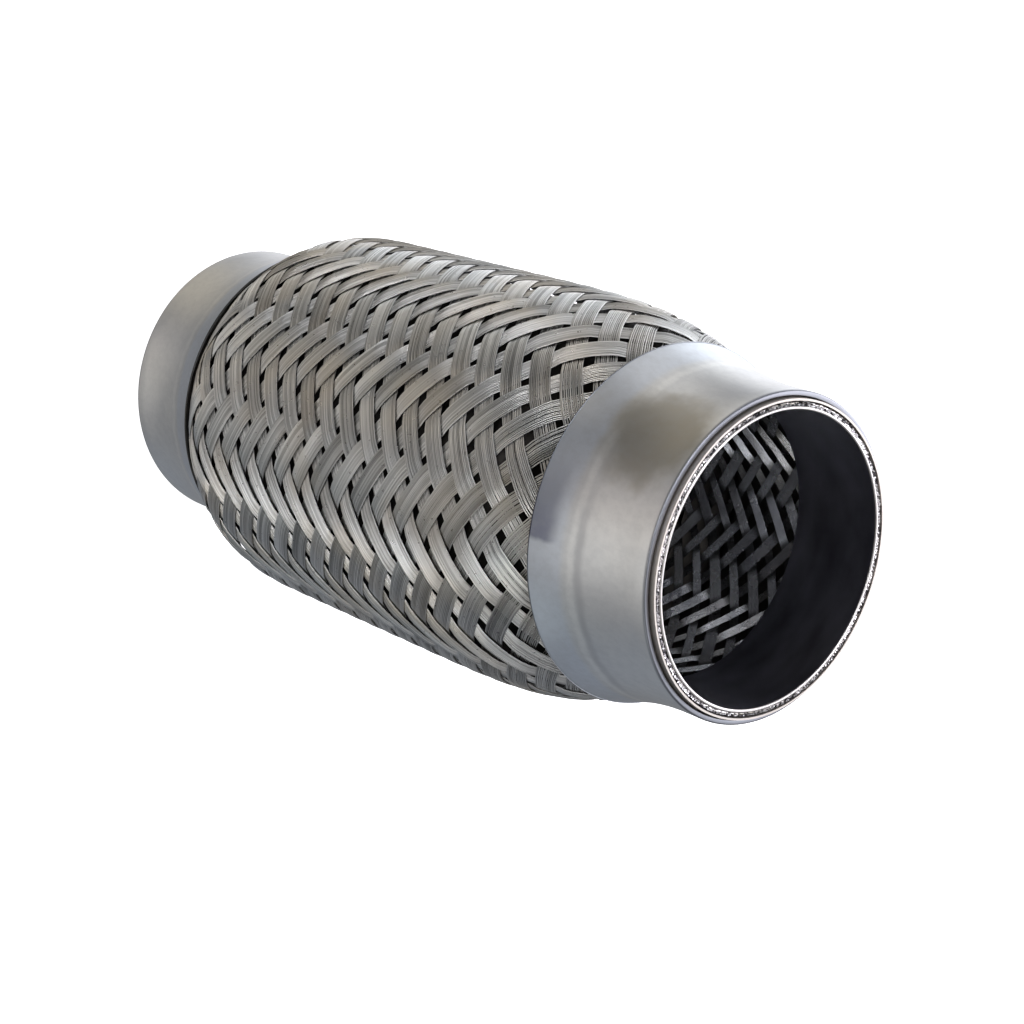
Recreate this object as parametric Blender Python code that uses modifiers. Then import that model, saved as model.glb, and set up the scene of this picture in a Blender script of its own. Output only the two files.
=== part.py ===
"""Exhaust flex pipe: the flexible joint between two lengths of exhaust pipe.

A thin bellows keeps the gas in. A woven wire liner guards it from the gas and a woven
wire braid holds it from outside. A turned collar clamps the layers at each open end,
round a short inner sleeve. The pipe stands on one end, axis along +Z, with the centre
of that end at the origin. Metres, +Z up.
"""

import math

import bmesh
import bpy
from mathutils import Matrix

# Driving dimensions
MM = 0.001
LENGTH = 153.6 * MM  # over the two open ends
BORE_R = 25.4 * MM  # a two inch pipe slips into each sleeve
SEAT_GAP = 0.25 * MM  # between a collar and the layer inside it

SLEEVE_WALL = 0.5 * MM
SLEEVE_LENGTH = 18.0 * MM

LINER_WALL = 0.45 * MM
LINER_GAP = 0.2 * MM  # round the sleeve
LINER_SETBACK = 0.3 * MM  # the wires are cut just inside the sleeve's end

BELLOWS_WALL = 0.35 * MM
NECK_GAP = 0.1 * MM  # round the liner
CONVOLUTIONS = 7
CREST_START = 38.0 * MM  # from an open end to the first crest
CREST_GAP = 0.9 * MM  # from that crest to the braid's inside
CREST_SHARE = 0.38  # of the pitch that a crest takes
FLANK_SHARE = 0.12  # of the pitch that a leaning side wall takes

COLLAR_WALL = 0.95 * MM
LIP_SETBACK = 1.0 * MM  # the collar's lip stops short of the sleeve's end
RIM_SETBACK = 25.1 * MM  # and its wide rim stands this far from that end
FLARE_START = 4.0 * MM
FLARE_RISE = 3.6 * MM
FLARE_POWER = 2.2  # a higher power keeps the flare for the rim, like a bell's
COLLAR_EDGE = 0.4 * MM  # broken edge of the lip and the rim

BRAID_R = 36.95 * MM  # over the woven wires, at the middle
BRAID_WALL = 0.85 * MM
BRAID_TUCK = 17.5 * MM  # from an open end to the braid's hidden edge
RIM_GAP = 0.35 * MM  # between the collar and the braid inside it
RIM_LEAD = 1.3 * MM  # the braid starts to swell this far past the rim
LOWER_SHOULDER = 20.0 * MM  # the weave is pushed together at its lower end
LOWER_FULLNESS = 3.2  # a higher power swells sooner behind the rim
UPPER_SHOULDER = 48.0 * MM  # and drawn out at its upper one
UPPER_FULLNESS = 4.5

CARRIERS = 24  # strands wound each way
FLOAT_CELLS = 2  # opposite strands that a strand passes over at a time
STRAND_SPACING = 5.25 * MM  # square across the strands
STRAND_RELIEF = 0.45 * MM
WEAVE_UNDER_RIM = 1.0 * MM  # the ridges run this far under the rim
GROOVE_ACROSS = 0.10  # share of a cell that slopes down to the next strand
GROOVE_ALONG = 0.13  # and to the strand that a float dives under
WEAVE_ANGLE = math.radians(267)  # direction of a crossing line
GAP_ROW = 2  # rows in from the rim to the open gaps on each shoulder
GAP_WIDTH = 2.5 * MM
GAP_HEIGHT = 3.0 * MM
CUTTER_DEPTH = 6.0 * MM

# Facets
SIDES = 2 * CARRIERS
BELLOWS_SIDES = 24
FLARE_STEPS = 4  # outside, and one less inside
SHOULDER_RINGS = 3
RING_CROWDING = 1.3  # a higher power draws the rings to the rim, where the braid bends
SLOPE_REACH = 0.2 * MM  # how far each way the braid's lean is measured


def finish(name, color, roughness, metallic):
    """A Principled material"""
    material = bpy.data.materials.new(name)
    material.use_nodes = True
    shader = material.node_tree.nodes["Principled BSDF"]
    shader.inputs["Base Color"].default_value = (*color, 1.0)
    shader.inputs["Roughness"].default_value = roughness
    shader.inputs["Metallic"].default_value = metallic
    material.diffuse_color = (*color, 1.0)
    return material


def add(name, mesh, material, group):
    """An object from a mesh, with its material, in a collection"""
    obj = bpy.data.objects.new(name, mesh)
    if not mesh.materials:
        mesh.materials.append(material)
    group.objects.link(obj)
    return obj


def turned(name, outline, sides, closed=True):
    """A mesh of edges to be turned about Z, with the Screw settings to turn it.

    The outline is (radius, height) points, which run down the outer side.
    """
    mesh = bpy.data.meshes.new(name)
    points = [(radius, 0.0, height) for radius, height in outline]
    edges = [(i, i + 1) for i in range(len(points) - 1)]
    if closed:
        edges.append((len(points) - 1, 0))
    mesh.from_pydata(points, edges, [])
    return mesh, {"steps": sides, "render_steps": sides, "merge_threshold": 1e-5}


def turn(obj, settings):
    screw = obj.modifiers.new("turned", "SCREW")
    screw.use_merge_vertices = True
    screw.use_smooth_shade = True
    for key, value in settings.items():
        setattr(screw, key, value)


# Radii that follow from the stack of layers at an open end
SLEEVE_OUT = BORE_R + SLEEVE_WALL
LINER_IN = SLEEVE_OUT + LINER_GAP
LINER_OUT = LINER_IN + LINER_WALL
FACET = 1 / math.cos(math.pi / BELLOWS_SIDES)  # flats of fewer sides dip towards the liner
NECK_IN = (LINER_OUT + NECK_GAP) * FACET
NECK_OUT = NECK_IN + BELLOWS_WALL
COLLAR_BORE = NECK_OUT + SEAT_GAP
COLLAR_NECK = COLLAR_BORE + COLLAR_WALL


def flare_setback(share):
    """Distance from the open end to a share of the flare, which ends at the rim"""
    return FLARE_START + (RIM_SETBACK - FLARE_START) * share


def collar_radius(setback):
    """Outside of a collar at a distance from the open end"""
    share = (setback - FLARE_START) / (RIM_SETBACK - FLARE_START)
    return COLLAR_NECK + FLARE_RISE * min(max(share, 0.0), 1.0) ** FLARE_POWER


SWELL_START = RIM_SETBACK + RIM_LEAD
RIM_BRAID_R = collar_radius(RIM_SETBACK) - COLLAR_WALL - RIM_GAP


def braid_radius(height):
    """Outside of the braid: along the collars' insides, the shoulders, the middle"""
    setback = min(height, LENGTH - height)
    if setback < SWELL_START:
        return collar_radius(setback) - COLLAR_WALL - RIM_GAP
    lower = height < LENGTH / 2
    shoulder = LOWER_SHOULDER if lower else UPPER_SHOULDER
    fullness = LOWER_FULLNESS if lower else UPPER_FULLNESS
    share = min((setback - SWELL_START) / shoulder, 1.0)
    swell = 1 - (1 - share) ** fullness
    return RIM_BRAID_R + (BRAID_R - RIM_BRAID_R) * swell


def inside_radius(height):
    """Inside of the braid, whose wall keeps its thickness where it leans"""
    rise = braid_radius(height + SLOPE_REACH) - braid_radius(height - SLOPE_REACH)
    return braid_radius(height) - BRAID_WALL * math.hypot(1.0, rise / (2 * SLOPE_REACH))


CREST_ROOM = min(inside_radius(CREST_START), inside_radius(LENGTH - CREST_START))
CREST_R = CREST_ROOM - CREST_GAP


def strand_pitch(radius):
    """Height between neighbouring strands of one hand, which keep their width"""
    lean = CARRIERS * STRAND_SPACING / (2 * math.pi * radius)
    return STRAND_SPACING / math.sqrt(1 - lean * lean)


def weave_rows():
    """Heights of the half-pitch rows, fitted from the middle to just under the rim"""
    middle, end = LENGTH / 2, LENGTH - RIM_SETBACK + WEAVE_UNDER_RIM
    rows = [middle]
    while rows[-1] < end:
        rows.append(rows[-1] + strand_pitch(braid_radius(rows[-1])) / 2)
    if rows[-1] - end > end - rows[-2]:
        rows.pop()
    fit = (end - middle) / (rows[-1] - middle)
    return [middle + (row - middle) * fit for row in rows]


def collar_mesh():
    """The collar of the lower end: lip, neck, flare and skirt"""
    skirt = collar_radius(RIM_SETBACK)
    edge = COLLAR_EDGE
    outline = [(skirt - edge, RIM_SETBACK)]
    outline.append((collar_radius(RIM_SETBACK - edge), RIM_SETBACK - edge))
    for i in range(FLARE_STEPS - 1, -1, -1):
        height = flare_setback(i / FLARE_STEPS)
        outline.append((collar_radius(height), height))
    outline += [(COLLAR_NECK, LIP_SETBACK + edge), (COLLAR_NECK - edge, LIP_SETBACK)]
    outline.append((COLLAR_BORE, LIP_SETBACK))
    for i in range(FLARE_STEPS):
        height = flare_setback(i / (FLARE_STEPS - 1))
        outline.append((collar_radius(height) - COLLAR_WALL, height))
    return turned("collar", outline, SIDES)


def sleeve_mesh():
    """The sleeve of the lower end, a short thin tube"""
    outline = [(SLEEVE_OUT, SLEEVE_LENGTH), (SLEEVE_OUT, 0.0)]
    outline += [(BORE_R, 0.0), (BORE_R, SLEEVE_LENGTH)]
    return turned("inner_sleeve", outline, SIDES)


def end_pair(name, made, material, group):
    """Two copies of an end piece: as made below, turned over above"""
    mesh, settings = made
    for place, height, roll in (("lower", 0.0, 0.0), ("upper", LENGTH, math.pi)):
        obj = add(place + "_" + name, mesh, material, group)
        obj.location.z = height
        obj.rotation_euler.x = roll
        turn(obj, settings)


def bellows(material, group):
    """One thin tube with U-shaped convolutions and plain necks"""
    first, last = LENGTH - CREST_START, CREST_START
    pitch = (first - last) / (CONVOLUTIONS - 1 + CREST_SHARE)
    crest = pitch * CREST_SHARE / 2
    flank = pitch * FLANK_SHARE
    line = [(NECK_OUT, LENGTH)]
    for i in range(CONVOLUTIONS):
        middle = first - crest - pitch * i
        line.append((NECK_OUT, middle + crest + flank))
        line.append((CREST_R, middle + crest))
        line.append((CREST_R, middle - crest))
        line.append((NECK_OUT, middle - crest - flank))
    line.append((NECK_OUT, 0.0))
    mesh, settings = turned("bellows", line, BELLOWS_SIDES, closed=False)
    obj = add("bellows", mesh, material, group)
    turn(obj, settings)
    wall = obj.modifiers.new("wall", "SOLIDIFY")
    wall.thickness = BELLOWS_WALL
    wall.offset = -1
    wall.use_even_offset = True


def inner_braid(material, group):
    """The woven liner, a plain tube here: its wires are too fine for the solid"""
    top, bottom = LENGTH - LINER_SETBACK, LINER_SETBACK
    outline = [(LINER_OUT, top), (LINER_OUT, bottom), (LINER_IN, bottom), (LINER_IN, top)]
    mesh, settings = turned("inner_braid", outline, SIDES)
    turn(add("inner_braid", mesh, material, group), settings)


class Weave:
    """The lattice on which the two hands of strands cross, rolled round the pipe.

    Columns count eastwards in half strand steps and rows count up in half pitches from
    the middle. Strands cross where column plus row is odd; four crossings meet where
    it is even.
    """

    def __init__(self, bm):
        self.bm = bm
        self.heights = weave_rows()
        self.last = len(self.heights) - 1
        self.corners = {}

    def height(self, row):
        """Height of a row, which may lie between two of them or below the middle"""
        whole = min(int(abs(row)), self.last - 1)
        low, high = self.heights[whole], self.heights[whole + 1]
        above = low + (high - low) * (abs(row) - whole)
        return above if row >= 0 else LENGTH - above

    def point(self, column, height, radius):
        angle = WEAVE_ANGLE + 2 * math.pi * column / SIDES
        return self.bm.verts.new((radius * math.cos(angle), radius * math.sin(angle), height))

    def corner(self, column, row):
        """The low point between four crossings, shared by the floats that meet there"""
        key = (column % SIDES, row)
        if key not in self.corners:
            height = self.height(row)
            radius = braid_radius(height) - STRAND_RELIEF
            self.corners[key] = self.point(column, height, radius)
        return self.corners[key]

    def ring(self, height, radius):
        return [self.point(column, height, radius) for column in range(SIDES)]

    def face(self, *verts, flip=False):
        self.bm.faces.new(reversed(verts) if flip else verts)

    def band(self, upper, lower):
        """Quads between two closed rings of points, facing out when upper is above"""
        for i in range(SIDES):
            j = (i + 1) % SIDES
            self.face(upper[i], lower[i], lower[j], upper[j])

    def float_strand(self, column, row, hand, cells):
        """One raised stretch of strand over a run of crossings, sloping down all round"""

        def place(along, across):
            return (
                column + hand * (along - across),
                row + along + across,
            )

        side = [i - 0.5 for i in range(cells + 1)]
        low = [tuple(map(round, place(a, -0.5))) for a in side]
        high = [tuple(map(round, place(a, 0.5))) for a in side]
        low = [self.corner(*at) for at in low]
        high = [self.corner(*at) for at in high]
        start, end = GROOVE_ALONG - 0.5, cells - 0.5 - GROOVE_ALONG
        across = 0.5 - GROOVE_ACROSS
        tops = []
        for along, side_of in ((start, -across), (end, -across), (end, across), (start, across)):
            at_column, at_row = place(along, side_of)
            height = self.height(at_row)
            tops.append(self.point(at_column, height, braid_radius(height)))
        t0, t1, t2, t3 = tops
        flip = hand < 0
        self.face(high[0], low[0], t0, t3, flip=flip)
        self.face(low[-1], high[-1], t2, t1, flip=flip)
        if cells == 1:
            self.face(low[0], low[1], t1, t0, flip=flip)
            self.face(high[1], high[0], t3, t2, flip=flip)
        else:
            self.face(low[0], low[1], t0, flip=flip)
            self.face(low[1], t1, t0, flip=flip)
            self.face(low[1], low[2], t1, flip=flip)
            self.face(high[2], high[1], t2, flip=flip)
            self.face(high[1], t3, t2, flip=flip)
            self.face(high[1], high[0], t3, flip=flip)
        self.face(t0, t1, t2, flip=flip)
        self.face(t0, t2, t3, flip=flip)

    def floats(self):
        """All the floats: bands of one hand and of the other in turn round the pipe"""
        for band in range(SIDES // FLOAT_CELLS):
            hand = 1 if band % 2 == 0 else -1
            first = band * FLOAT_CELLS if hand > 0 else (band + 1) * FLOAT_CELLS - 1
            for row in range(-self.last - 1, self.last):
                if (first + row) % 2 == 0:
                    continue
                inside = [abs(row + i) < self.last for i in range(FLOAT_CELLS)]
                if all(inside):
                    self.float_strand(first, row, hand, FLOAT_CELLS)
                elif inside[0]:
                    self.float_strand(first, row, hand, 1)
                elif inside[1]:
                    self.float_strand(first + hand, row + 1, hand, 1)

    def border(self, sign):
        """The saw-tooth edge of the woven stretch, one corner for each column"""
        rows = [self.last - (column + self.last) % 2 for column in range(SIDES)]
        return [self.corner(column, sign * row) for column, row in enumerate(rows)]


def inside_rings(shoulder):
    """Distances from an open end to the rings of the braid's plain inside"""
    shares = [(i / SHOULDER_RINGS) ** RING_CROWDING for i in range(SHOULDER_RINGS + 1)]
    return [BRAID_TUCK] + [SWELL_START + shoulder * share for share in shares]


def gap_cutter(weave, group):
    """Lozenge prisms through the braid where strands stand apart on the shoulders"""
    bm = bmesh.new()
    shape = Matrix.Diagonal((GAP_HEIGHT, GAP_WIDTH, CUTTER_DEPTH, 1))
    turn_out = Matrix.Rotation(math.pi / 2, 4, "Y") @ shape
    for row in (weave.last - GAP_ROW, GAP_ROW - weave.last):
        height = weave.height(row)
        place = Matrix.Translation((braid_radius(height) - BRAID_WALL / 2, 0, height))
        for column in range(row % 2, SIDES, 2):
            angle = WEAVE_ANGLE + 2 * math.pi * column / SIDES
            made = bmesh.ops.create_cone(
                bm, cap_ends=True, segments=4, radius1=0.5, radius2=0.5, depth=1.0
            )
            matrix = Matrix.Rotation(angle, 4, "Z") @ place @ turn_out
            bmesh.ops.transform(bm, matrix=matrix, verts=made["verts"])
    mesh = bpy.data.meshes.new("braid_gap_cutter")
    bm.to_mesh(mesh)
    bm.free()
    cutter = bpy.data.objects.new("braid_gap_cutter", mesh)
    cutter.display_type = "WIRE"
    cutter.hide_render = True
    group.objects.link(cutter)
    return cutter


def outer_braid(material, group, cutters):
    """The braid as one wall: a ridge for each float, a groove between two, open gaps"""
    bm = bmesh.new()
    weave = Weave(bm)
    weave.floats()
    tucked = [(BRAID_TUCK + RIM_SETBACK - WEAVE_UNDER_RIM) / 2, BRAID_TUCK]
    low = [weave.ring(at, braid_radius(at)) for at in tucked]
    high = [weave.ring(LENGTH - at, braid_radius(at)) for at in tucked]
    for setback in inside_rings(LOWER_SHOULDER):
        low.append(weave.ring(setback, inside_radius(setback)))
    for height in (LENGTH - setback for setback in inside_rings(UPPER_SHOULDER)):
        high.append(weave.ring(height, inside_radius(height)))
    rings = low[::-1] + [weave.border(-1)]
    for lower, upper in zip(rings, rings[1:]):
        weave.band(upper, lower)
    rings = [weave.border(1)] + high
    for lower, upper in zip(rings, rings[1:]):
        weave.band(upper, lower)
    weave.band(low[-1], high[-1])
    mesh = bpy.data.meshes.new("outer_braid")
    bm.to_mesh(mesh)
    mesh.shade_smooth()
    mesh.set_sharp_from_angle(angle=math.radians(35))
    obj = add("outer_braid", mesh, material, group)
    gaps = obj.modifiers.new("gaps", "BOOLEAN")
    gaps.object = gap_cutter(weave, cutters)
    gaps.solver = "EXACT"
    bm.free()


def build():
    for obj in list(bpy.data.objects):
        bpy.data.objects.remove(obj)
    scene = bpy.context.scene.collection
    group = bpy.data.collections.new("exhaust_flex_pipe")
    cutters = bpy.data.collections.new("cutters")
    scene.children.link(group)
    scene.children.link(cutters)
    collar_steel = finish("collar_steel", (0.62, 0.62, 0.63), 0.32, 1.0)
    braid_wire = finish("braid_wire", (0.50, 0.47, 0.43), 0.42, 1.0)
    liner_wire = finish("liner_wire", (0.33, 0.32, 0.32), 0.45, 1.0)
    bellows_steel = finish("bellows_steel", (0.48, 0.47, 0.46), 0.30, 1.0)
    sleeve_steel = finish("sleeve_steel", (0.40, 0.40, 0.43), 0.28, 1.0)
    end_pair("collar", collar_mesh(), collar_steel, group)
    end_pair("inner_sleeve", sleeve_mesh(), sleeve_steel, group)
    bellows(bellows_steel, group)
    inner_braid(liner_wire, group)
    outer_braid(braid_wire, group, cutters)


build()
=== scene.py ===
"""Looks of the exhaust flex pipe.

Two woven layers of stainless wire guard a thin bellows between them. At each open end a
swaged collar and a short sleeve pinch all three layers. The pipe stands on one end, its
axis along +Z. Metres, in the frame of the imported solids.
"""

import math

import bpy
import numpy as np
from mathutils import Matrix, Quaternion, Vector


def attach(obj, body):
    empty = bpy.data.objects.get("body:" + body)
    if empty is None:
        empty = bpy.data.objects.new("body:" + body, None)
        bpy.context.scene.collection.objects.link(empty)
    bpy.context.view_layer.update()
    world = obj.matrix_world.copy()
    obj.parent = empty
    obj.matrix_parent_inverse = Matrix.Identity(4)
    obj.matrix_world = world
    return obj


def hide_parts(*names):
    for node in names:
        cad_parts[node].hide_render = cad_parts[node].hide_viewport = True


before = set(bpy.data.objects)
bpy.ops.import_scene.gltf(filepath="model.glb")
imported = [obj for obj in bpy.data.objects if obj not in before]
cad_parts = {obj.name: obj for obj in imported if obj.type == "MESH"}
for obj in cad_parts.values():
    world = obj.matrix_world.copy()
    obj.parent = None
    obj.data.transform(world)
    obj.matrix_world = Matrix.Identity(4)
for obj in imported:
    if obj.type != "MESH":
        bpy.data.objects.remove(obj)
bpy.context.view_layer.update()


# Camera: close in front of the upper mouth and above it, rolled so that the pipe lies
# across the picture, its mouth to the right.
camera = bpy.data.objects.new("camera", bpy.data.cameras.new("camera"))
bpy.context.scene.collection.objects.link(camera)
bpy.context.scene.camera = camera
camera.data.lens = 75.85
camera.location = (0.0, -0.2748, 0.3802)
aim = Vector((0.00585, -0.04761, 0.14093))
roll = math.radians(110.0)
camera.rotation_mode = "QUATERNION"
level = (aim - camera.location).to_track_quat("-Z", "Y")
camera.rotation_quaternion = level @ Quaternion((0, 0, 1), roll)


# Bellows: the gas-tight tube between the two braids, stainless strip rolled into U-shaped
# convolutions. Its plain necks run out to the mouths, where their edges show as thin rings.
mm = 0.001
length = 153.6 * mm
bellows_wall = 0.35 * mm
neck_outside = 27.23 * mm
crest_outside = 33.0 * mm
first_crest = 40.3 * mm  # its middle, from an open end
convolutions = 7
fold_samples = 10
fold_power = 0.6  # under 1, so that the crests are fuller than a sine's
bellows_sides = 96


class Wired:
    """A socket in a node tree; sums and products written on it add Math nodes"""

    def __init__(self, tree, socket=None):
        self.tree = tree
        self.socket = socket

    def node(self, kind, settings, sockets, output=0):
        """An output of a new node, whose settings are made before its sockets"""
        made = self.tree.nodes.new("ShaderNode" + kind)
        for name, value in settings.items():
            setattr(made, name, value)
        for name, value in sockets.items():
            if isinstance(value, Wired):
                self.tree.links.new(value.socket, made.inputs[name])
            else:
                made.inputs[name].default_value = value
        return Wired(self.tree, made.outputs[output])

    def math(self, operation, first, second=0.0):
        return self.node("Math", {"operation": operation}, {0: first, 1: second})

    def __add__(self, other):
        return self.math("ADD", self, other)

    def __sub__(self, other):
        return self.math("SUBTRACT", self, other)

    def __rsub__(self, other):
        return self.math("SUBTRACT", other, self)

    def __mul__(self, other):
        return self.math("MULTIPLY", self, other)

    __radd__ = __add__
    __rmul__ = __mul__

    def between(self, low, high):
        """0 at low, 1 at high, held there beyond them"""
        settings = {"interpolation_type": "SMOOTHSTEP"}
        sockets = {"Value": self, "From Min": low, "From Max": high}
        return self.node("MapRange", settings, sockets)

    def tinted(self, color_at_0, color_at_1):
        """The colour this far from one to the other"""
        sockets = {0: self, 6: color_at_0, 7: color_at_1}
        return self.node("Mix", {"data_type": "RGBA"}, sockets, 2)

    def stretched(self, x, y, z):
        """A point with its axes scaled"""
        return self.node("VectorMath", {"operation": "MULTIPLY"}, {0: self, 1: (x, y, z)})

    def noise(self, detail=2.0, roughness=0.5):
        """Cloudy noise at this point, one cloud per unit"""
        sockets = {"Vector": self, "Scale": 1.0, "Detail": detail, "Roughness": roughness}
        return self.node("TexNoise", {}, sockets, "Fac")

    def away_from(self, x, y, z):
        """Distance of this point from another"""
        sockets = {0: self, 1: (x, y, z)}
        return self.node("VectorMath", {"operation": "DISTANCE"}, sockets, "Value")

    def part(self, axis):
        """X, Y or Z of a point"""
        return self.node("SeparateXYZ", {}, {0: self}, axis)


class Finish:
    """A metal surface: its material, what drives its shader, and points on it in mm"""

    def __init__(self, name):
        self.material = bpy.data.materials.new(name)
        self.material.use_nodes = True
        self.shader = self.material.node_tree.nodes["Principled BSDF"]
        self.shader.inputs["Metallic"].default_value = 1.0
        self.wire = Wired(self.material.node_tree)
        at = self.wire.node("TexCoord", {}, {}, "Object")
        self.point = at.stretched(1 / mm, 1 / mm, 1 / mm)

    def drive(self, socket, value):
        self.material.node_tree.links.new(value.socket, self.shader.inputs[socket])

    def mark(self, name):
        """A number that the mesh carries at each point"""
        return self.wire.node("Attribute", {"attribute_name": name}, {}, "Fac")

    def emboss(self, height, depth):
        """Relief from a height of 0 to 1, which stands for a depth in metres"""
        self.drive("Normal", self.wire.node("Bump", {}, {"Height": height, "Distance": depth}))


def color(red, green, blue):
    return (red, green, blue, 1.0)


def about_axis(angle, radius, height):
    """Points from angles round the pipe's axis, radii and heights"""
    across, back = radius * np.cos(angle), radius * np.sin(angle)
    return np.stack(np.broadcast_arrays(across, back, height), -1)


def skinned(name, rings, looped=False, capped=False, marks=None):
    """A mesh over an array of points [tube, ring, side, axis].

    Sides run clockwise seen from where the rings run to, so a turned profile runs down its
    outer side. The ends are joined, capped or left open. Marks are arrays of one number
    for each point.
    """
    tubes, count, sides, _ = rings.shape
    spans = count if looped else count - 1
    wall_share = 0.9  # of the bake map's height; the caps' discs lie above it
    cap_rows = (0, 0.93), (count - 1, 0.98)
    cap_width, cap_height = 0.4, 0.02
    tube, span, side = (at.ravel() for at in np.indices((tubes, spans, sides)))

    def corner(one_on, one_round):
        ring = (span + one_on) % count
        return (tube * count + ring) * sides + (side + one_round) % sides

    def place(one_on, one_round):
        across = (tube + (side + one_round) / sides) / tubes
        return np.stack([across, wall_share * (span + one_on) / spans], -1)

    turns = ((0, 0), (1, 0), (1, 1), (0, 1))
    faces = np.stack([corner(*turn) for turn in turns], -1)
    places = np.stack([place(*turn) for turn in turns], 1).reshape(-1, 2)
    faces = faces.tolist()
    if capped:
        angle = np.arange(sides) * 2 * math.pi / sides
        dial = np.stack([cap_width * np.cos(angle) / tubes, cap_height * np.sin(angle)], -1)
        for k in range(tubes):
            for ring, height in cap_rows:
                first = (k * count + ring) * sides
                cap = list(range(first, first + sides))
                faces.append(cap if ring == 0 else cap[::-1])
                disc = dial + ((k + 0.5) / tubes, height)
                places = np.concatenate([places, disc if ring == 0 else disc[::-1]])
    mesh = bpy.data.meshes.new(name)
    mesh.from_pydata(rings.reshape(-1, 3).tolist(), [], faces)
    mesh.uv_layers.new(name="OFBake").uv.foreach_set("vector", places.astype(np.float32).ravel())
    for mark, values in (marks or {}).items():
        spread = np.broadcast_to(values, rings.shape[:3]).astype(np.float32)
        mesh.attributes.new(mark, "FLOAT", "POINT").data.foreach_set("value", spread.ravel())
    mesh.shade_smooth()
    return mesh


def fitted(name, mesh, finish, slot, *nodes):
    """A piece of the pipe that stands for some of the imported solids"""
    piece = bpy.data.objects.new(name, mesh)
    bpy.context.scene.collection.objects.link(piece)
    if not mesh.materials:
        mesh.materials.append(finish.material)
    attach(piece, "root")
    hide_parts(*nodes)
    return piece


def turned(name, outline, sides, crease=35):
    """A closed profile of (radius, height) points turned about Z, outer side downwards"""
    radius, height = np.array(outline).T[:, :, None]
    angle = np.arange(sides) * 2 * math.pi / sides
    mesh = skinned(name, about_axis(angle, radius, height)[None], looped=True)
    mesh.set_sharp_from_angle(angle=math.radians(crease))
    return mesh


def bellows_line(inward):
    """The wavy line of one side of the sheet, this far inside its outer face"""
    pitch = (length - 2 * first_crest) / (convolutions - 1)
    turns = np.arange(convolutions * fold_samples + 1) / fold_samples
    fold = (0.5 - 0.5 * np.cos(turns * 2 * math.pi)) ** fold_power
    neck = neck_outside - inward
    radii = neck + fold * (crest_outside - neck_outside)
    heights = length - first_crest + pitch / 2 - turns * pitch
    return [(neck, length), *zip(radii, heights), (neck, 0.0)]


bellows_skin = Finish("bellows_skin")
# Painted shade: away from the mouths, where the braids cover the bellows, its colour falls to near
# black for the shade between the layers; a noise mottles that shade and the roughness.
bellows_mottle = bellows_skin.point.stretched(0.08, 0.08, 0.3).noise(detail=3.0)
painted_shade = bellows_mottle.tinted(color(0.015, 0.014, 0.013), color(0.05, 0.046, 0.042))
depth = bellows_skin.point.part("Z")
covered = depth.between(2.0, 8.0) - depth.between(length / mm - 8.0, length / mm - 2.0)
bellows_skin.drive("Base Color", covered.tinted(color(0.60, 0.56, 0.52), painted_shade))
bellows_skin.drive("Roughness", 0.36 + bellows_mottle * 0.20)

outline = bellows_line(0.0) + bellows_line(bellows_wall)[::-1]
tube = turned("bellows_tube", outline, bellows_sides)
fitted("bellows_tube", tube, bellows_skin, "bellows_steel", "bellows")


# Sleeves: short stainless tubes pressed into the mouths, which the exhaust pipes slip into.
# Their walls carry painted shade, dark and dull; their cut edges are bright and slightly rounded.
bore = 25.4 * mm
sleeve_wall = 0.5 * mm
sleeve_length = 18.0 * mm
sleeve_outside = bore + sleeve_wall
edge_start = 0.12 * mm  # from the open end, where the wall turns into the cut edge
edge_inset = 0.18 * mm  # from the wall, where the edge is flat
corner_inset, corner_setback = 0.08 * mm, 0.03 * mm
inner_chamfer = 0.2 * mm
mouth_sides = 192


def at_both_ends(name, mesh, finish, slot, lower_node, upper_node):
    """A piece for each end: as made at the lower one, turned over at the upper one"""
    fitted("lower_" + name, mesh, finish, slot, lower_node)
    upper = fitted("upper_" + name, mesh, finish, slot, upper_node)
    upper.location.z = length
    upper.rotation_euler.x = math.pi


sleeve_skin = Finish("sleeve_skin")
radial = sleeve_skin.point.stretched(1, 1, 0)
radial = radial.node("VectorMath", {"operation": "LENGTH"}, {0: radial}, "Value")
edge = 1 - sleeve_skin.point.part("Z").between(0.15, 0.45)
sleeve_mottle = sleeve_skin.point.stretched(0.1, 0.1, 0.25).noise(detail=4.0)
# Painted shade: the wall inside the mouth is coloured dark blue-grey for the shade in the bore,
# mottled by a noise; the cut edge keeps the steel's light colour.
wall = sleeve_mottle.tinted(color(0.10, 0.10, 0.125), color(0.24, 0.24, 0.29))
sleeve_skin.drive("Base Color", edge.tinted(wall, color(0.75, 0.72, 0.70)))
sleeve_skin.drive("Roughness", 0.30 + sleeve_mottle * 0.25)

outline = [
    (sleeve_outside, sleeve_length),
    (sleeve_outside, edge_start),
    (sleeve_outside - corner_inset, corner_setback),
    (sleeve_outside - edge_inset, 0.0),
    (bore + edge_inset, 0.0),
    (bore + corner_inset, corner_setback),
    (bore, edge_start),
    (bore, sleeve_length - inner_chamfer),
    (bore + inner_chamfer, sleeve_length),
]
sleeve = turned("inner_sleeve", outline, mouth_sides)
nodes = "lower_inner_sleeve", "upper_inner_sleeve"
at_both_ends("mouth_sleeve", sleeve, sleeve_skin, "sleeve_steel", *nodes)


# Liner: a braid of flat strands between the gas and the bellows, two over and two under.
# It is cut at the mouths, where the crushed ends of its wires fill the ring round the sleeve.
columns = 48  # half strand steps round the pipe
weave_angle = math.radians(267)
liner_middle = 26.42 * mm
liner_row = 2.38 * mm
liner_width = 2.3 * mm
liner_thickness = 0.2 * mm
liner_lift = 0.13 * mm  # up and down at a crossing
liner_steepness = 2.0  # how sharply a strand dives there
liner_wires = 8
hands = (1, "right"), (-1, "left")
liner_end = 15.0 * mm  # the woven stretch starts here, behind the sleeve


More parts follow.
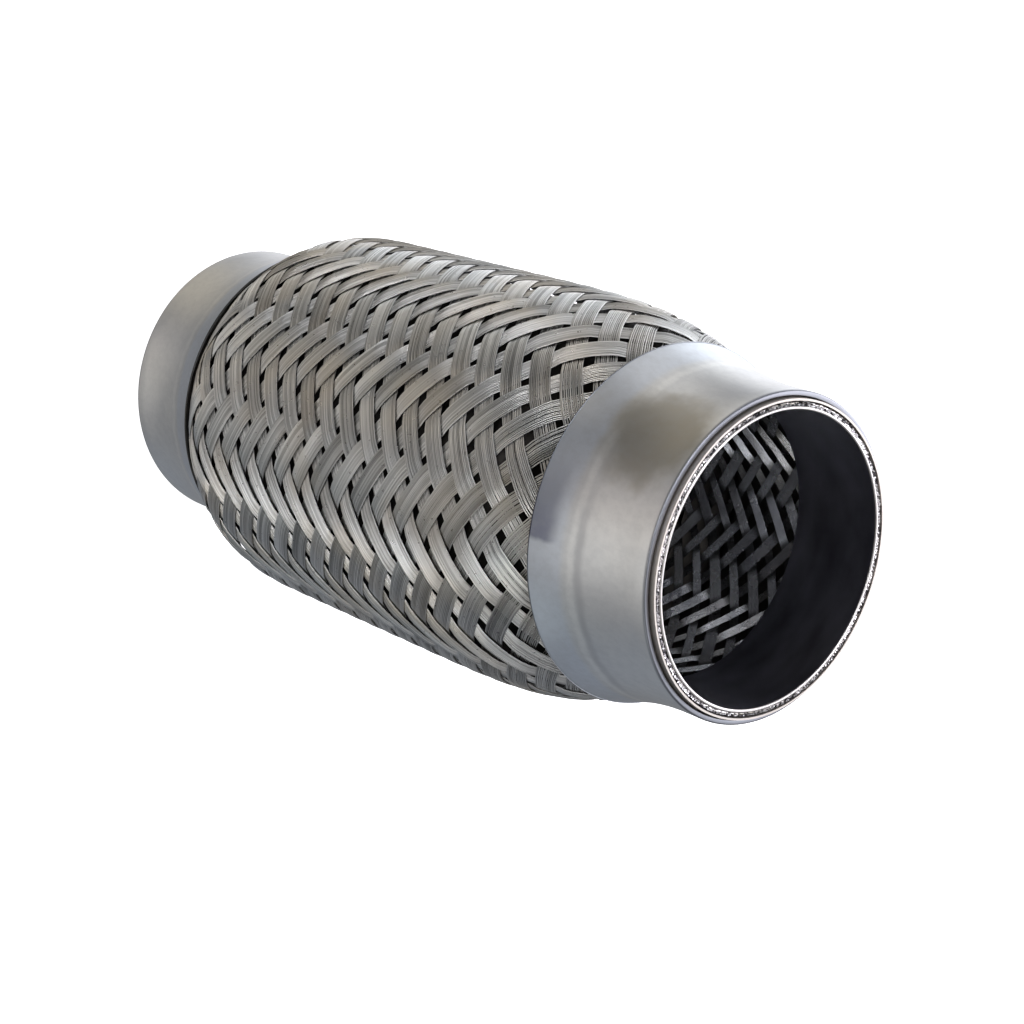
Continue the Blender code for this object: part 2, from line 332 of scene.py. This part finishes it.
def over_under(column, hand, steepness):
    """1 where a strand of this hand lies on top, -1 where it lies under"""
    swing = np.cos((column - 0.5) * math.pi / 2)
    return hand * np.sin(np.clip(swing * steepness, -1, 1) * math.pi / 2)


def strand_samples(rows):
    """Places along a strand in rows from the middle, close together where it dives"""
    halves = math.ceil(rows / 2) + 1
    dive = np.array([-0.34, -0.12, 0.12, 0.34, 0.78, 1.22])
    places = (0.5 + 2 * np.arange(-halves, halves)[:, None] + dive).ravel()
    return np.concatenate([[-rows], places[np.abs(places) < rows - 0.05], [rows]])


def frames_along(path):
    """Unit vectors out from the axis and across, at each point of paths [..., point, axis]"""
    out = path * (1, 1, 0)
    out /= np.linalg.norm(out, axis=-1, keepdims=True)
    ahead = np.gradient(path, axis=-2)
    ahead /= np.linalg.norm(ahead, axis=-1, keepdims=True)
    across = np.cross(ahead, out)
    across /= np.linalg.norm(across, axis=-1, keepdims=True)
    return np.cross(across, ahead), across


def on_pipe(column, radius, height):
    """Points from lattice columns, radii and heights"""
    return about_axis(weave_angle + column * 2 * math.pi / columns, radius, height)


def liner_strands(hand, chance):
    """The liner's strands of one hand as flat ribbons, whose fronts face the gas"""
    starts = np.arange(1, columns, 2)[:, None]
    spread = liner_width * chance.uniform(0.72, 1.04, (len(starts), 1, 1, 1))
    along = strand_samples((length / 2 - liner_end) / liner_row)[None, :]
    column = starts + along
    raised = over_under(column, hand, liner_steepness)
    height = length / 2 + hand * along * liner_row
    path = on_pipe(column, liner_middle - raised * liner_lift, height)
    out, across = frames_along(path)
    wide = np.array([-0.5, -0.42, 0.0, 0.42, 0.5, 0.42, 0.0, -0.42])
    thick = np.array([0.0, -0.42, -0.5, -0.42, 0.0, 0.5, 0.5, 0.5])
    sideways = across[:, :, None] * wide[:, None] * spread
    outwards = out[:, :, None] * thick[:, None] * liner_thickness
    over = (0.5 + 0.5 * raised)[..., None]
    shade = chance.uniform(0, 1, (len(starts), 1, 1))
    marks = {"across": wide + 0.5, "over": over, "tone": shade}
    mesh = skinned("liner_strands", path[:, :, None] + sideways + outwards, marks=marks)
    mesh.set_sharp_from_angle(angle=math.radians(20))
    return mesh


liner_wire = Finish("liner_wire")
tone = liner_wire.mark("tone")
grime = liner_wire.point.stretched(0.3, 0.3, 0.3).noise(detail=3.0)
dull = grime.tinted(color(0.22, 0.22, 0.23), color(0.50, 0.50, 0.51))
bar = (tone * 0.7).tinted(dull, color(0.79, 0.82, 0.87))
# Painted shade: where a strand dives under the other hand, its colour falls to near black for the
# shade beneath the floats.
raised = liner_wire.mark("over").between(0.0, 0.9)
liner_wire.drive("Base Color", raised.tinted(color(0.08, 0.08, 0.08), bar))
liner_wire.drive("Roughness", 0.17 + grime * 0.18)
lines = liner_wire.mark("across") * (liner_wires * math.pi)
lines = lines.math("ABSOLUTE", lines.math("SINE", lines))
liner_wire.emboss(lines, 0.12 * mm)

chance = np.random.default_rng(7)
for hand, word in hands:
    mesh = liner_strands(hand, chance)
    fitted("liner_" + word + "_strands", mesh, liner_wire, "liner_wire", "inner_braid")

cut_count = 430  # wires in a layer
cut_reach = 3.0 * mm
cut_sides = 6
first_layer, layer_step = 0.22, 0.32  # mm, out from the sleeve


def cut_wires(chance):
    """The crushed cut ends round a mouth: two leaning layers of short wires"""
    paths, sizes, tones = [], [], []
    for layer, lean in ((0, 1), (1, -1)):
        jitter = chance.uniform(-0.35, 0.35, cut_count)
        turn = (np.arange(cut_count) + jitter) * 2 * math.pi / cut_count
        tufts = 0.35 * np.sin(23 * turn + layer) * np.sin(37 * turn)
        tones.append(chance.uniform(0, 1, cut_count) + tufts)
        outwards = first_layer + layer_step * layer + chance.uniform(-0.07, 0.07, cut_count)
        radius = sleeve_outside + outwards * mm
        top = chance.uniform(0.02, 0.28, cut_count) * mm
        slope = lean * chance.uniform(0.3, 0.9, cut_count) * cut_reach / radius
        depth = np.linspace(cut_reach, 0, 3)[None, :]
        angle = turn[:, None] + slope[:, None] * depth / cut_reach
        paths.append(about_axis(angle, radius[:, None], top[:, None] + depth))
        sizes.append(chance.uniform(0.13, 0.17, cut_count) * mm)
    path, size = np.concatenate(paths), np.concatenate(sizes)
    out, across = frames_along(path)
    angle = np.arange(cut_sides)[:, None] * 2 * math.pi / cut_sides
    round_wire = across[:, :, None] * np.sin(angle) + out[:, :, None] * np.cos(angle)
    rings = path[:, :, None] + size[:, None, None, None] * round_wire
    cut = chance.uniform(0.01, 0.07, (len(path), 1, 1)) * mm  # no wire stands past the end plane
    rings[..., 2] = np.maximum(rings[..., 2], cut)
    marks = {"tone": np.concatenate(tones).reshape(-1, 1, 1)}
    mesh = skinned("cut_wires", rings[:, :, ::-1], capped=True, marks=marks)
    mesh.set_sharp_from_angle(angle=math.radians(50))
    return mesh


cut_wire = Finish("cut_wire")
shiny = cut_wire.mark("tone").between(0.1, 0.4)
cut_wire.drive("Base Color", shiny.tinted(color(0.12, 0.11, 0.12), color(0.97, 0.94, 0.95)))
cut_wire.shader.inputs["Roughness"].default_value = 0.3

ends = cut_wires(np.random.default_rng(11))
at_both_ends("cut_wires", ends, cut_wire, "liner_wire", "inner_braid", "inner_braid")


# Collars: steel tube swaged to a flare. The neck grips the layers round the sleeve and the
# skirt covers the outer braid's ends. Satin from the press, with a painted brown reflection.
lip_setback = 1.0 * mm
rim_setback = 25.1 * mm
flare_start, flare_rise, flare_power = 4.0 * mm, 3.6 * mm, 2.2
collar_wall = 0.95 * mm
collar_bore = 27.48 * mm
collar_neck = collar_bore + collar_wall
lip_outer_round, lip_inner_round = 0.32 * mm, 0.15 * mm
rim_outer_round, rim_inner_round = 0.3 * mm, 0.25 * mm


def collar_radius(setback):
    """Outside of a collar at a distance from the open end, a bell like a trumpet's"""
    share = np.clip((setback - flare_start) / (rim_setback - flare_start), 0, 1)
    return collar_neck + flare_rise * share**flare_power


def rounded(radius, height, size, start, end, steps=5):
    """Points on a quarter round about a centre, between two angles in degrees"""
    turns = [math.radians(start + (end - start) * i / steps) for i in range(steps + 1)]
    return [(radius + size * math.cos(turn), height + size * math.sin(turn)) for turn in turns]


skirt = float(collar_radius(rim_setback))
flare = np.linspace(flare_start, rim_setback - rim_outer_round, 24)
size = rim_outer_round
outline = rounded(skirt - size, rim_setback - size, size, 90, 0)
outline += [(float(collar_radius(at)), at) for at in flare[::-1]]
size = lip_outer_round
outline += rounded(collar_neck - size, lip_setback + size, size, 0, -90)
size = lip_inner_round
outline += rounded(collar_bore + size, lip_setback + size, size, -90, -180)
outline += [(float(collar_radius(at)) - collar_wall, at) for at in flare]
size = rim_inner_round
outline += rounded(skirt - collar_wall + size, rim_setback - size, size, 180, 90)

collar_skin = Finish("collar_skin")
around = collar_skin.point.stretched(0.05, 0.05, 4.0).noise(detail=4.0, roughness=0.7)
clouds = collar_skin.point.stretched(0.09, 0.09, 0.12).noise(detail=3.0)
specks = collar_skin.point.stretched(2.2, 2.2, 2.2).noise(detail=2.0)
setback = collar_skin.point.part("Z")
wander = collar_skin.point.stretched(0.22, 0.22, 0.22).noise(detail=3.0)
ringed = setback + wander * 1.2
steel_and_painted_light = clouds.tinted(color(0.56, 0.57, 0.59), color(0.72, 0.72, 0.71))
# Painted reflection: the skirt towards the rim is tinted blue-grey for the cool light it mirrors
# there.
painted_cool_reflection = ringed.between(18.6, 20.4)
steel_and_painted_light = (painted_cool_reflection * 0.8).tinted(steel_and_painted_light, color(0.60, 0.64, 0.71))
# Painted highlight: a light strip round the collar beside the crease, on the rim's side.
bright = ringed.between(16.4, 17.4) - ringed.between(17.8, 18.8)
steel_and_painted_light = (bright * 0.5).tinted(steel_and_painted_light, color(0.80, 0.80, 0.79))
sideways = collar_skin.point.part("X")
facing = collar_skin.point.part("Y").between(0.0, 12.0)
# Painted shade: the crease is darkened in colour on one side of the collar, besides being pressed
# in by the bump.
crease = ringed.between(14.6, 16.0) - ringed.between(16.2, 17.6)
crease = crease * sideways.between(-6.0, 9.0) * facing
steel_and_painted_light = (crease * clouds).tinted(steel_and_painted_light, color(0.34, 0.34, 0.36))
# Painted reflection: a dark brown blot round a point on the neck and flare, standing for a dark
# reflection.
painted_dark_reflection = 1 - (collar_skin.point.away_from(-12.9, 25.3, 10.0) + wander * 7).between(9.5, 15.5)
steel_and_painted_light = (painted_dark_reflection * 0.85).tinted(steel_and_painted_light, color(0.34, 0.32, 0.28))
# A dark blue-grey patch on the skirt above the rim, on one side of the collar, ending sharply at
# one edge.
dark_blue_patch = (sideways + wander * 5).between(-5.0, 11.0)
dark_blue_patch = dark_blue_patch * (1 - (sideways + wander * 2).between(9.2, 10.4))
dark_blue_patch = dark_blue_patch * ringed.between(20.0, 22.6) * facing
steel_and_painted_light = (dark_blue_patch * 0.9).tinted(steel_and_painted_light, color(0.22, 0.23, 0.30))
fine = collar_skin.point.stretched(0.7, 0.7, 0.5).noise(detail=4.0, roughness=0.7)
steel_and_painted_light = (fine.between(0.35, 0.7) * 0.22).tinted(steel_and_painted_light, color(0.42, 0.43, 0.45))
# Painted shadow: the rim's end face is coloured near black for the shadow gap between the rim and
# the braid.
steel_and_painted_light = setback.between(24.72, 24.88).tinted(steel_and_painted_light, color(0.05, 0.05, 0.05))
# Painted shade: the lip is coloured a darker blue-grey than the rest of the collar.
steel_and_painted_light = setback.between(1.1, 1.7).tinted(color(0.27, 0.28, 0.31), steel_and_painted_light)
collar_skin.drive("Base Color", steel_and_painted_light)
collar_skin.drive("Roughness", 0.20 + around * 0.14 + clouds * 0.10 + fine * 0.08)
collar_skin.emboss(around * 0.6 + specks * 0.4 - crease * 1.5, 0.012 * mm)

collar = turned("swaged_collar", outline, mouth_sides)
at_both_ends("swaged_collar", collar, collar_skin, "collar_steel", "lower_collar", "upper_collar")


# Outer braid: 24 strands wound each way, two over and two under. A strand is a flat ribbon
# of 12 drawn wires side by side; the ends are gripped under the collars.
braid_outside = 36.85 * mm
lower_shoulder, lower_fullness = 20.0 * mm, 3.2  # the weave is pushed together here
upper_shoulder, upper_fullness = 48.0 * mm, 4.5  # and drawn out here
rim_lead = 0.3 * mm
rim_gap = 0.08 * mm
strand_spacing = 5.25 * mm
wires = 12
wire = 0.285 * mm
wire_sides = 5
wire_step = 0.314 * mm  # between neighbours in a strand
lift = 0.2 * mm  # up and down at a crossing
steepness = 2.2  # how sharply a strand dives there
crown = 0.1 * mm  # arch of a float along the strand
arch = 0.06 * mm  # and across it
sunk_wire = 0.04 * mm  # how far a wire sinks at most into its strand
splay_reach = 22 * mm  # past a collar's rim, the wires spread and stray more
splay_widens = 0.05
pinch_setback, pinch_spread = 33 * mm, 4 * mm  # from an open end, the strands are narrowest
pinch_narrows = 0.10
step_wander = 0.012 * mm
wire_stray, splay_stray = 0.018, 0.12  # mm, sideways in the strand
braid_rows = 18.8  # of crossings, from the middle to a strand's end
row_marks = np.array([-21, -18, -14, 0, 12, 14, 17, 20])  # rows of crossings from the middle
height_marks = np.array([13.4, 23.2, 35.9, 76.8, 113.4, 119.7, 129.5, 139.6]) * mm
rim_outside = skirt - collar_wall - rim_gap


def braid_radius(height):
    """Outside of the braid: along the collars' insides, the shoulders, the middle"""
    setback = np.minimum(height, length - height)
    lower = height < length / 2
    shoulder = np.where(lower, lower_shoulder, upper_shoulder)
    fullness = np.where(lower, lower_fullness, upper_fullness)
    share = np.clip((setback - rim_setback - rim_lead) / shoulder, 0, 1)
    full = rim_outside + (braid_outside - rim_outside) * (1 - (1 - share) ** fullness)
    held = collar_radius(setback) - collar_wall - rim_gap
    return np.where(share > 0, full, held)


def height_of(row):
    return np.interp(row, row_marks, height_marks)


def sway(chance, shape, places, waves):
    """Slow random wandering along each line, about -1 to 1"""
    total = 0
    for wave in waves:
        phase = chance.uniform(0, 2 * math.pi, (*shape, 1))
        size = chance.uniform(0.4, 1.0, (*shape, 1))
        total = total + size * np.sin(places * 2 * math.pi / wave + phase)
    return total / len(waves)


def braid_strands(hand, starts, chance):
    """Strands of one hand as bundles of round wires, which dive where the others cross"""
    starts = starts[:, None, None]
    strands = len(starts)
    order = (np.arange(wires) - (wires - 1) / 2)[None, :, None]
    along = strand_samples(braid_rows)[None, None, :]
    row, column = hand * along, starts + along
    height = height_of(row)
    setback = np.minimum(height, length - height)
    splay = np.clip(1 - (setback - rim_setback) / splay_reach, 0, 1)
    pinch = np.exp(-(((setback - pinch_setback) / pinch_spread) ** 2))
    step = wire_step * (1 + splay_widens * splay - pinch_narrows * pinch)
    step = step + step_wander * sway(chance, (strands, 1), along, (7.0, 12.0))
    drift = sway(chance, (strands, wires), along, (5.3, 9.1, 17.0))
    drift = drift + chance.uniform(-0.5, 0.5, (strands, wires, 1))
    beside = order * step + drift * (wire_stray + splay_stray * splay * splay) * mm
    shift = beside / strand_spacing
    height = height_of(hand * (along - shift))
    bulge = 1 - (order / (wires / 2)) ** 2
    sunk = np.abs(sway(chance, (strands, wires), along, (3.7, 8.3)))
    depth = wire / 2 + lift * (1 - over_under(column, hand, steepness))
    depth = depth + crown * (1 - hand * np.cos((column - 0.5) * math.pi / 2))
    depth = depth + arch * (1 - bulge) + sunk_wire * sunk
    path = on_pipe(column + shift, braid_radius(height) - depth, height)
    out, across = frames_along(path)
    angle = -np.arange(wire_sides) * 2 * math.pi / wire_sides
    round_wire = out[..., None, :] * np.cos(angle)[:, None]
    round_wire = round_wire + across[..., None, :] * np.sin(angle)[:, None]
    rings = path[..., None, :] + wire / 2 * round_wire
    tone = chance.uniform(0, 0.3, (strands, 1)) + chance.uniform(0, 0.7, (strands, wires))
    marks = {"tone": tone.reshape(-1, 1, 1)}
    return skinned("braid_strands", rings.reshape(strands * wires, -1, wire_sides, 3), marks=marks)


braid_wire = Finish("braid_wire")
tone = braid_wire.mark("tone")
patch = braid_wire.point.stretched(0.06, 0.06, 0.06).noise(detail=2.0)
streak = braid_wire.point.stretched(0.8, 0.8, 0.8).noise(detail=3.0)
plain = tone.tinted(color(0.26, 0.26, 0.256), color(0.79, 0.79, 0.78))
warm = patch.between(0.45, 0.65) * 0.40
braid_wire.drive("Base Color", warm.tinted(plain, color(0.58, 0.52, 0.44)))
braid_wire.drive("Roughness", 0.22 + streak * 0.17)

chance = np.random.default_rng(3)
halves = np.arange(1, columns, 2).reshape(2, -1)
for hand, word in hands:
    for number, starts in enumerate(halves, 1):
        mesh = braid_strands(hand, starts, chance)
        name = "braid_" + word + "_strands_" + str(number)
        fitted(name, mesh, braid_wire, "braid_wire", "outer_braid")


# Studio: a pale glowing floor under the standing end, in a dim room of soft boxes, each given
# by its bearing, rise and spread in degrees and its strength by colour. The brightest is
# right behind the camera, the next ones high on the -X side and beyond the pipe.
floor_reach = 4.0
core_share = 0.2  # of a soft box's spread, at full strength
floor_finish = bpy.data.materials.new("floor")
floor_finish.use_nodes = True
paint = floor_finish.node_tree.nodes["Principled BSDF"]
paint.inputs["Base Color"].default_value = color(0.80, 0.80, 0.80)
paint.inputs["Roughness"].default_value = 0.9
paint.inputs["Emission Color"].default_value = color(1.0, 1.0, 1.0)
paint.inputs["Emission Strength"].default_value = 1.0
floor_mesh = bpy.data.meshes.new("floor")
corners = [(x * floor_reach, y * floor_reach, 0) for x, y in ((-1, -1), (1, -1), (1, 1), (-1, 1))]
floor_mesh.from_pydata(corners, [], [(0, 1, 2, 3)])
floor_mesh.materials.append(floor_finish)
floor = bpy.data.objects.new("floor", floor_mesh)
bpy.context.scene.collection.objects.link(floor)
floor.visible_glossy = False

room = bpy.data.worlds.new("room")
room.use_nodes = True
bpy.context.scene.world = room
air = Wired(room.node_tree)
toward = air.node("TexCoord", {}, {}, "Generated")
soft_boxes = [
    (220, 8, 13, (2.4, 2.1, 1.6)),
    (300, 25, 13, (2.4, 2.2, 1.7)),
    (340, 25, 13, (1.75, 1.65, 1.6)),
    (220, 59, 13, (4.4, 4.6, 4.7)),
    (185, 62, 18, (5.9, 5.8, 6.3)),
    (268, 43, 13, (7.6, 7.6, 7.8)),
    (258, -67, 14, (0.15, 0.14, 0.13)),
    (115, -42, 27, (1.2, 1.2, 1.25)),
    (90, 52, 27, (1.6, 1.6, 1.7)),
    (298, -25, 26, (0.52, 0.51, 0.49)),
    (266, -35, 27, (0.38, 0.33, 0.30)),
    (20, -40, 32, (0.08, 0.10, 0.13)),
    (148, -57, 15, (0.34, 0.35, 0.37)),
    (113, 23, 27, (4.8, 4.7, 4.9)),
    (343, -3, 27, (0.26, 0.30, 0.31)),
    (318, -39, 27, (0.22, 0.21, 0.20)),
    (201, -52, 27, (0.46, 0.40, 0.29)),
    (286, -48, 27, (0.27, 0.25, 0.21)),
    (140, -15, 27, (1.65, 1.7, 1.75)),
    (180, -20, 27, (0.76, 0.74, 0.71)),
]
glow = toward.node("RGB", {}, {})
glow.socket.default_value = color(0.22, 0.225, 0.235)
for bearing, rise, spread, tint in soft_boxes:
    turn, tilt = math.radians(bearing), math.radians(rise)
    aimed = (math.cos(turn) * math.cos(tilt), math.sin(turn) * math.cos(tilt), math.sin(tilt))
    near = toward.node("VectorMath", {"operation": "DOT_PRODUCT"}, {0: toward, 1: aimed}, "Value")
    edge, core = math.radians(spread), math.radians(spread * core_share)
    light = near.between(math.cos(edge), math.cos(core)).tinted(color(0, 0, 0), color(*tint))
    glow = glow.node("VectorMath", {"operation": "ADD"}, {0: glow, 1: light})
sight = air.node("LightPath", {}, {}, "Is Camera Ray")
background = room.node_tree.nodes["Background"]
background.inputs["Strength"].default_value = 1.0
seen = sight.tinted(glow, color(1.45, 1.45, 1.45))
room.node_tree.links.new(seen.socket, background.inputs["Color"])

bpy.context.scene.view_settings.view_transform = "Standard"
